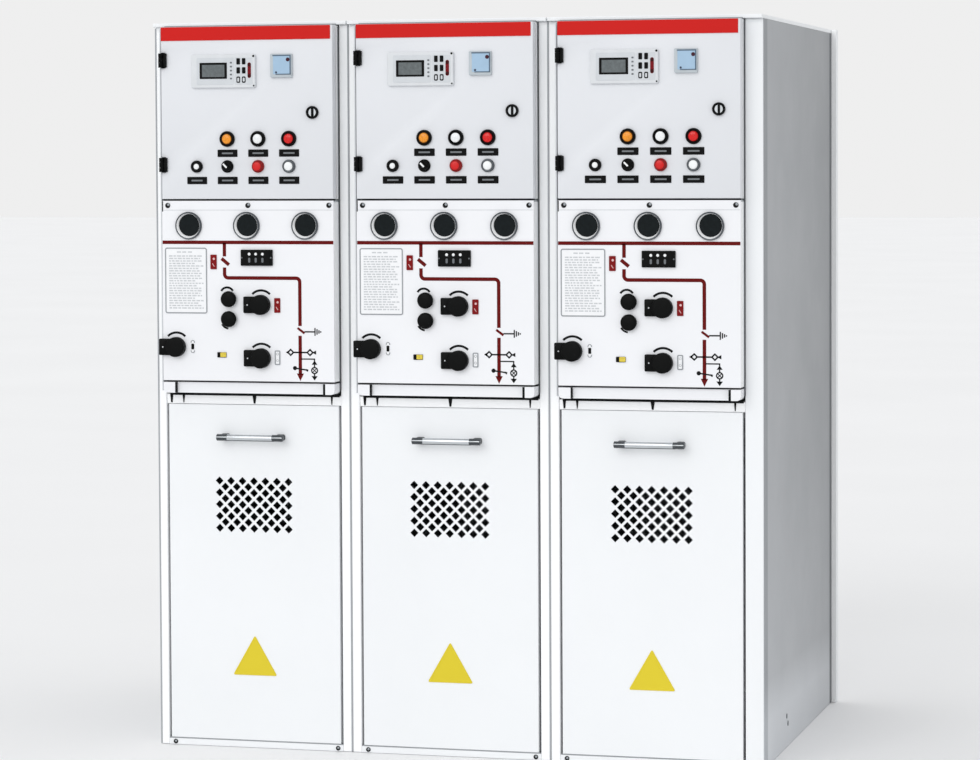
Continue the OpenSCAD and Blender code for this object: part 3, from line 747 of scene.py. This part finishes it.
    # panel screws: black discs as painted shade round each head, pale heads set off to the upper right as painted
    # highlights; the fold under them as a pale grey line of painted shade
    b = Build(k)
    for x in (40.6, 215.0, 389.0):
        b.lathe(x, 1124.5, [(5.4, FY + 0.2), (5.4, FY - 1.0), (4.9, FY - 1.4), (0, FY - 1.4)], 28)
    b.make("panel_screw_shades_" + n, "screw_black", body, "black_metal", (), 0.0, 2, 40, 50.0)
    b = Build(k)
    for x in (40.6, 215.0, 389.0):
        b.lathe(x + 2.0, 1126.0, [(2.8, FY - 1.2), (2.8, FY - 2.6), (2.1, FY - 3.4), (0, FY - 3.7)], 24)
    b.make("panel_screw_highlights_" + n, "screw", body, "grip_metal", (), 0.0, 2, 40, 50.0)
    # pale grey line along the fold: painted shade on the bend
    b = Build(k)
    b.rect(29, 397.5, 1114.5, 1115.5, 0.4, FY + 0.2, FY - 0.3, 0.0, 2)
    b.make("panel_fold_shade_" + n, "ink_pale", body, "panel_paint")
    # dark strip in the notch at the panel's upper left corner: painted shade
    b = Build(k)
    b.rect(28.3, 30.3, 1112.0, 1133.6, 0.4, FY + 0.2, FY - 0.3, 0.0, 2)
    b.make("panel_notch_shade_" + n, "dark", body, "black_metal")

    # instruction plate: blank, ruled
    b = Build(k)
    b.rect(33.6, 125.6, 902, 1038, 4.5, FY + 0.2, FY - 0.8, 0.3)
    b.make("instruction_plate_" + n, "plate_white", body, "panel_paint")
    b = Build(k)
    b.stroke(rounded(35.0, 124.2, 903.4, 1036.6, 3.6), 2.4, FY - 0.5, FY - 1.05, True)
    b.make("plate_border_" + n, "ink_grey", body, "panel_paint")
    b = Build(k)
    for x in (60.0, 71.5, 84.0):
        b.rect(x, x + 9.0, 1027.4, 1030.0, 0.3, FY - 0.6, FY - 1.0, 0.0, 2)
    for i in range(22):
        z = 1020.5 - i * 5.1
        x, x1, j = 42.5, 117.5 - (0, 7, 3, 18, 0, 11, 5)[i % 7], 0
        while x < x1 - 2.5:
            w = min(3.5 + 7.0 * math.modf(0.618 * (3 * i + 1) * (j + 1) + 0.37 * i)[0], x1 - x)
            b.rect(x, x + w, z - 1.3, z + 1.3, 0.3, FY - 0.6, FY - 1.0, 0.0, 2)
            x, j = x + w + 2.0, j + 1
    b.make("plate_rules_" + n, "ink_pale", body, "panel_paint")

    # operating-shaft covers
    b, t = Build(k), Build(k)
    for x, z in SHAFTS:
        b.lathe(x, z, [(20.6, FY), (20.6, FY - 11.0), (20.0, FY - 12.8), (18.6, FY - 13.7), (16.5, FY - 14.0), (0, FY - 14.0)], 72)
        b.rect(x - 36, x - 6, z - 17, z + 17, 2.5, FY, FY - 9.4, 1.6)
        b.rect(x - 33.5, x - 19, z - 14, z + 14, 2.0, FY - 8, FY - 10.0, 0.8)
        t.lathe(x - 26.8, z, [(1.5, FY - 9.5), (1.5, FY - 10.3), (1.1, FY - 10.6), (0, FY - 10.6)], 20)
    b.make("shaft_covers_" + n, "black", body, "black_plastic", (), 0.0006, 2, 50.0, 32.0)
    t.make("shaft_dots_" + n, "ink_pale", body, "panel_paint")

    # push knobs
    b = Build(k)
    for x, z in KNOBS:
        b.lathe(x, z, [(12.5, FY), (12.5, FY - 4.0), (15.4, FY - 5.0), (16.5, FY - 6.6), (16.4, FY - 9.4), (15.0, FY - 11.6), (11.5, FY - 12.7), (0, FY - 13.0)], 64)
    b.make("push_knobs_" + n, "black", body, "black_plastic", (), 0.0, 2, 40, 50.0)

    # live display
    b, t, g = Build(k), Build(k), Build(k)
    b.rect(200, 268, 1001, 1034, 1.6, FY, FY - 5.4, 1.0)
    b.rect(205.0, 263.0, 1004.5, 1030.5, 1.2, FY - 5.0, FY - 6.0, 0.4)
    for x in (219.0, 233.0, 247.5):
        t.lathe(x, 1025, [(2.9, FY - 5.5), (2.9, FY - 6.3), (2.2, FY - 6.6), (0, FY - 6.7)], 24)
        g.rect(x - 2.3, x + 2.3, 1007.5, 1017.5, 2.2, FY - 5.5, FY - 6.35, 0.2)
    for x in (202.6, 265.4):
        g.lathe(x, 1017.5, [(1.7, FY - 5.0), (1.7, FY - 5.8), (1.2, FY - 6.0), (0, FY - 6.0)], 18)
    b.make("live_display_case_" + n, "black", body, "black_plastic", (), 0.0)
    t.make("live_display_lamps_" + n, "lens_white", body, "panel_paint", (), 0.0, 2, 40, 50.0)
    g.make("live_display_sockets_" + n, "socket_grey", body, "black_plastic")

    # position flags
    b, t, g, y, m = Build(k), Build(k), Build(k), Build(k), Build(k)
    for x0, x1, z0, z1 in ((133, 146.5, 993.5, 1023.5), (270.5, 283.5, 905, 935)):
        b.rect(x0, x1, z0, z1, 1.4, FY, FY - 1.8, 0.4)
        xc = (x0 + x1) / 2
        m.disc(xc + 1.0, z1 - 8.5, 2.4, FY - 1.5, FY - 2.0, 24)
        m.stroke([(xc - 2.2, z0 + 12.0), (xc + 2.0, z0 + 5.5)], 1.3, FY - 1.5, FY - 2.0)
    b.make("flags_red_" + n, "flag_red", body, "indicator_red", (), 0.0)
    m.make("flag_dots_" + n, "mark_pink", body, "indicator_red")
    t.rect(271, 283, 798, 828, 1.4, FY, FY - 1.5, 0.4)
    t.rect(89, 97, 820.5, 847.5, 3.8, FY, FY - 1.0, 0.3)
    t.make("flags_white_" + n, "plate_white", body, "panel_paint")
    g.stroke(rounded(272.2, 281.8, 799.2, 826.8, 1.4), 2.4, FY - 1.2, FY - 1.8, True)
    g.stroke(arc(277, 820.5, 2.2, 0, 340, 18), 0.7, FY - 1.2, FY - 1.8, True)
    g.stroke(arc(277, 807.0, 2.2, 0, 340, 18), 0.7, FY - 1.2, FY - 1.8, True)
    g.stroke(arc(93, 843.0, 3.6, -20, 200, 14), 1.6, FY - 0.6, FY - 1.3)
    g.stroke(arc(93, 825.0, 3.6, 160, 380, 14), 1.6, FY - 0.6, FY - 1.3)
    g.make("flag_marks_" + n, "ink_grey", body, "black_plastic")
    y.rect(90.0, 96.0, 828.2, 840.0, 1.2, FY - 0.6, FY - 1.5)
    y.rect(146.5, 166.5, 812, 823, 1.6, FY, FY - 1.6, 0.4)
    y.make("lock_lamp_frame_" + n, "black", body, "black_plastic")
    b = Build(k)
    b.rect(153.3, 166.1, 813.0, 822.6, 1.4, FY - 1.2, FY - 2.0, 0.3)
    b.make("lock_lamp_" + n, "lamp_yellow", body, "indicator_red")


# ---------------------------------------------------------------- lower half
def lower_details(k):
    n = "%d" % (k + 1)
    body = "cover_" + n

    # cover: the same pan with its folds set to the frame's visible gaps
    src = NODES["cable_cover_" + n]
    verts = []
    for v in src.data.vertices:
        x, y, z = src.matrix_world @ v.co
        verts.append((x, y, z + (-0.0008 if z > 0.7095 else -0.0025 if z < 0.0215 else 0.0)))
    me = bpy.data.meshes.new("cover_leaf_" + n)
    me.from_pydata(verts, [], [tuple(q.vertices) for q in src.data.polygons])
    me.materials.append(M["white"])
    o = bpy.data.objects.new("cover_leaf_" + n, me)
    bpy.context.scene.collection.objects.link(o)
    o.modifiers.new("weld", "WELD").merge_threshold = 0.00002
    bevelled(o, 0.0009)
    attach(o, body)
    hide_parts("cable_cover_" + n)

    # cover handle: bright bar with ribbed dark ends on two feet
    b = Build(k)
    for q in (-1, 1):
        x = 210 + q * 60
        b.rect(x - 9, x + 9, 639.5, 652.5, 4.0, 0, -3.5, 0.8)
        b.rect(x - 6, x + 6, 640.8, 651.2, 3.0, -2.5, -22.0, 0.0)
        x0 = 210 + q * 60 - 12
        prof = [(x0, 5.0), (x0 + 0.6, 6.2)]
        for i in range(7):
            prof += [(x0 + 1.2 + 3.2 * i, 6.9), (x0 + 3.0 + 3.2 * i, 6.9), (x0 + 3.4 + 3.2 * i, 6.3), (x0 + 4.1 + 3.2 * i, 6.3)]
        prof = prof[:-2] + [(x0 + 23.4, 6.2), (x0 + 24.0, 5.0)]
        b.turn_x(-23.1, 646, prof)
    b.make("handle_ends_" + n, "grip_end", body, "grip_metal", ("cover_handle_" + n,), 0.0, 2, 40.0, 28.0)
    b = Build(k)
    b.turn_x(-23.1, 646, [(158, 6.0), (159, 6.3), (261, 6.3), (262, 6.0)], 48)
    # pale steel strips in front of the grips: painted highlight along each grip
    for q in (-1, 1):
        x0 = 210 + q * 60 - 12
        b.rect(x0 + 0.8, x0 + 23.2, 646.2, 648.2, 0.6, -28.8, -30.2, 0.2, 3)
    b.make("handle_bar_" + n, "steel", body, "grip_metal", (), 0.0, 2, 40, 50.0)
    # painted shade: dark strips along the bar's lower and upper edges
    b = Build(k)
    b.turn_x(-24.6, 640.7, [(157.5, 1.7), (262.5, 1.7)], 16)
    b.turn_x(-24.0, 651.3, [(157.5, 0.9), (262.5, 0.9)], 16)
    b.make("handle_shade_lines_" + n, "grip_end", body, "grip_metal", (), 0.0, 2, 40, 50.0)

    # blank triangular plate with a pressed rim
    b = Build(k)
    tri = [(162.0, 151.0), (258.0, 151.0), (210.0, 234.0)]

    def outline(i):
        cx, cz = 210.0, 178.7
        f = 1.0 - i / 27.7
        pts = []
        for j in range(3):
            a, p, c = tri[j - 1], tri[j], tri[(j + 1) % 3]
            u, v = unit2(a[0] - p[0], a[1] - p[1]), unit2(c[0] - p[0], c[1] - p[1])
            r = 5.0
            q0 = (p[0] + u[0] * r, p[1] + u[1] * r)
            q1 = (p[0] + v[0] * r, p[1] + v[1] * r)
            for t in (0.0, 0.25, 0.5, 0.75, 1.0):
                x = (1 - t) ** 2 * q0[0] + 2 * t * (1 - t) * p[0] + t * t * q1[0]
                z = (1 - t) ** 2 * q0[1] + 2 * t * (1 - t) * p[1] + t * t * q1[1]
                pts.append((cx + (x - cx) * f, cz + (z - cz) * f))
        return pts

    steps = ((0.0, 0.2), (0.0, -0.9), (0.5, -1.3), (3.2, -1.3), (4.0, -0.8), (26.0, -0.8))
    b.loft([[(x, y, z) for x, z in outline(i)] for i, y in steps])
    b.make("triangle_plate_" + n, "yellow", body, "header_red")

    # fixings of the frame
    b = Build(k)
    for x in (34, 389):
        b.lathe(x, PLINTH_H / 2, [(4.8, 0.2), (4.8, -1.0), (4.2, -1.5), (0, -1.5)], 24)
    b.make("plinth_washers_" + n, "screw_black", "cabinet", "black_metal", (), 0.0, 2, 40, 50.0)
    # pale head set off to the upper right on each black screw: painted glint
    b = Build(k)
    for x in (34, 389):
        b.lathe(x + 1.0, PLINTH_H / 2 + 1.0, [(2.4, -1.2), (2.4, -2.4), (1.8, -3.1), (0, -3.4)], 24)
    b.make("plinth_screw_glints_" + n, "screw", "cabinet", "grip_metal", (), 0.0, 2, 40, 50.0)
    # dark wedges in the transom's slots and a dark band under the ledge: painted shade inside the slots and painted
    # shadow of the ledge
    b = Build(k)
    for x, w0, w1 in ((30.4, 3.4, 7.0), (57.0, 1.6, 6.0), (212.0, 3.6, 9.0), (379.4, 1.8, 5.0)):
        b.slab([(x - w0 / 2, 715.0), (x + w0 / 2, 715.0), (x + w1 / 2, 733.0), (x - w1 / 2, 733.0)], 3.2, 2.2)
    b.rect(27.0, 396.5, 730.6, 737.6, 0.4, 6.0, 2.0, 0.0, 2)
    b.make("transom_slot_shades_" + n, "dark", "cabinet", "black_metal")
    # lip behind the cover's top gap, in the brighter white: painted light that keeps the gap pale
    b = Build(k)
    b.rect(20.5, 399.5, 713.0, 718.6, 0.4, 8.0, 3.0, 0.3, 2)
    b.make("transom_lip_" + n, "bright", "cabinet", "panel_paint")
    # painted shade: dark strips filling the gaps between the ledge bar and its corner pieces
    b = Build(k)
    for x0, x1, y0, y1 in ((53.1, 55.3, 14.0, 1.2), (373.6, 378.7, 2.6, 0.2), (376.1, 378.4, 14.0, 9.4)):
        b.rect(x0, x1, 738.6, 759.6, 0.4, FY + y0, FY + y1, 0.0, 3)
    b.make("ledge_gap_shades_" + n, "dark", "cabinet", "black_metal")
    b = Build(k)
    for z in (40, 390, 760, 1130, 1470):
        for x in (30, 390):
            b.lathe(x, z, [(0, 863.8), (2.4, 863.8), (3.6, 863.6), (4.2, 863.0), (4.2, 862.6), (0, 862.6)][::-1], 20)
    b.make("rear_screws_" + n, "screw", "cabinet", "grip_metal", (), 0.0, 2, 40, 50.0)
    # painted shade: grey strips beside the hood's left edge
    b = Build(k)
    b.rect(19.2, 24.6, 742, 1488, 0.5, 0.2, -1.5, 0.0, 2)
    b.rect(22.2, 24.6, 742, 1488, 0.5, -1.2, -30.0, 0.3, 2)
    b.make("hood_edge_shades_" + n, "trim", "cabinet", "grey_skin")
    # dark strip in the gap right of each hood: painted shade
    b = Build(k)
    b.rect(398.7, 399.9, 745, 1488, 0.2, -1.0, -4.0, 0.0, 2)
    b.make("hood_gap_shades_" + n, "socket_grey", "cabinet", "black_plastic")
    # pale grey lines: down the left side of each unit, the joint between units and on the first unit painted shade
    # along its left edge; painted shadow under the roof edge; painted shade in the gap above the plinth
    b = Build(k)
    x0, x1 = (-1.7, 1.7) if k else (1.3, 4.6)
    b.rect(x0, x1, 1, 1490, 0.3, 2.6 if not k else 0.2, -0.4, 0.0, 2)
    b.rect(27.0, 399.0, 1492.2, 1494.2, 0.2, -12.6, -13.3, 0.0, 2)
    b.rect(21.0, 398.6, 13.2, 15.0, 0.2, 5.0, 2.0, 0.0, 2)
    b.make("joint_and_shade_lines_" + n, "joint_and_shade_grey", "cabinet", "grey_skin")
    # door jamb, in the brighter white: painted light on a face in shade
    b = Build(k)
    b.rect(396.8, 398.4, 1137, 1490, 0.3, -0.2, -13.5, 0.3, 2)
    b.make("door_jamb_" + n, "bright", "cabinet", "white_paint")


for k in range(N):
    door_details(k)
    mimic_details(k)
    lower_details(k)

# the end sheet lapped round the front corner, a dark strip along its rear edge as painted shadow, the rear flange's
# front face in the brighter white as painted light, and two screws low down
b = Build(N - 1)
b.rect(436.6, 437.5, 0.6, 1491.4, 0.2, 42.0, 1.4, 0.0, 2)
b.make("skin_lap", "lap", "cabinet", "grey_skin")
# dark strip along the rear edge: painted shadow
b = Build(N - 1)
b.rect(436.6, 437.4, 0.6, 1491.4, 0.2, 840.6, 818.0, 0.0, 2)
b.make("skin_rear_shadow", "seam", "cabinet", "grey_skin")
# brighter white on the rear flange's front face: painted light where it lies in shade
b = Build(N - 1)
b.rect(437.6, 448.0, 1.0, 1499.0, 0.3, 841.2, 840.5, 0.0, 2)
b.make("flange_painted_light", "bright", "cabinet", "white_paint")
b = Build(N - 1)
for y, z in ((262.0, 65.0), (276.0, 48.0)):
    b.turn_x(y, z, [(436.6, 5.5), (437.6, 5.5), (438.1, 4.6), (438.3, 0.05)], 28)
b.make("skin_screw", "socket_grey", "cabinet", "grip_metal", (), 0.0, 2, 40, 50.0)

# one new piece per CAD node that spans the bank stands for it
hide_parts("window_rings")
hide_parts("window_glasses")
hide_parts("shaft_handles")
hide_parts("push_knobs")
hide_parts("live_displays")
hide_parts("indicator_flags")

# ---------------------------------------------------------------- stage, light, camera
me = bpy.data.meshes.new("floor")
me.from_pydata([(-40, -40, -0.0006), (40, -40, -0.0006), (40, 60, -0.0006), (-40, 60, -0.0006)], [], [(0, 1, 2, 3)])
fl = Mat("pale_floor")
fl.put(color=fl.ramp(fl.noise(0.8, 3.0, 0.5), [(0.3, (0.875, 0.875, 0.88, 1)), (0.7, (0.895, 0.895, 0.90, 1))]),
       rough=fl.span(fl.noise(30.0, 3.0, 0.5), 0.62, 0.72))
me.materials.append(fl.m)
floor = bpy.data.objects.new("floor", me)
bpy.context.scene.collection.objects.link(floor)

world = bpy.data.worlds.new("studio")
bpy.context.scene.world = world
world.use_nodes = True
wn = world.node_tree
lit = wn.nodes["Background"]
seen = wn.nodes.new("ShaderNodeBackground")
mx = wn.nodes.new("ShaderNodeMixShader")
lp = wn.nodes.new("ShaderNodeLightPath")
wc = wn.nodes.new("ShaderNodeTexCoord")
sx = wn.nodes.new("ShaderNodeSeparateXYZ")
mr = wn.nodes.new("ShaderNodeMapRange")
mr.inputs["From Min"].default_value, mr.inputs["From Max"].default_value = -1.0, 1.0
mr.inputs["To Min"].default_value, mr.inputs["To Max"].default_value = 0.96, 0.82
wn.links.new(wc.outputs["Generated"], sx.inputs[0])
wn.links.new(sx.outputs["X"], mr.inputs["Value"])
wn.links.new(mr.outputs["Result"], lit.inputs["Strength"])
lit.inputs["Color"].default_value = (0.985, 0.993, 1.0, 1)
seen.inputs["Color"].default_value = (0.862, 0.862, 0.862, 1)
seen.inputs["Strength"].default_value = 1.0
wn.links.new(lp.outputs["Is Camera Ray"], mx.inputs[0])
wn.links.new(lit.outputs[0], mx.inputs[1])
wn.links.new(seen.outputs[0], mx.inputs[2])
wn.links.new(mx.outputs[0], wn.nodes["World Output"].inputs["Surface"])


def sun(name, direction, strength, angle):
    d = bpy.data.lights.new(name, "SUN")
    d.energy = strength
    d.angle = math.radians(angle)
    o = bpy.data.objects.new(name, d)
    bpy.context.scene.collection.objects.link(o)
    l = math.sqrt(sum(c * c for c in direction))
    x, y, z = (c / l for c in direction)
    o.rotation_euler = (math.acos(-z), 0, math.atan2(y, x) - math.pi / 2)
    return o


sun("key", (0.22, 0.86, -0.42), 0.80, 40.0)

cam = bpy.data.cameras.new("camera")
cam.sensor_width = 36.0
cam.lens = 3274.63 / 980.0 * 36.0
cam.shift_x = 0.0
cam.shift_y = -0.08
cam.clip_end = 200.0
co = bpy.data.objects.new("camera", cam)
bpy.context.scene.collection.objects.link(co)
co.location = (1.79065, -6.7918, 1.2157)
turn = Matrix.Rotation(0.2629, 3, "Z") @ Matrix.Rotation(math.pi / 2 - 0.0433, 3, "X") @ Matrix.Rotation(-0.0046, 3, "Z")
co.rotation_euler = turn.to_euler()
bpy.context.scene.camera = co
bpy.context.scene.view_settings.view_transform = "Standard"
bpy.context.scene.view_settings.look = "None"
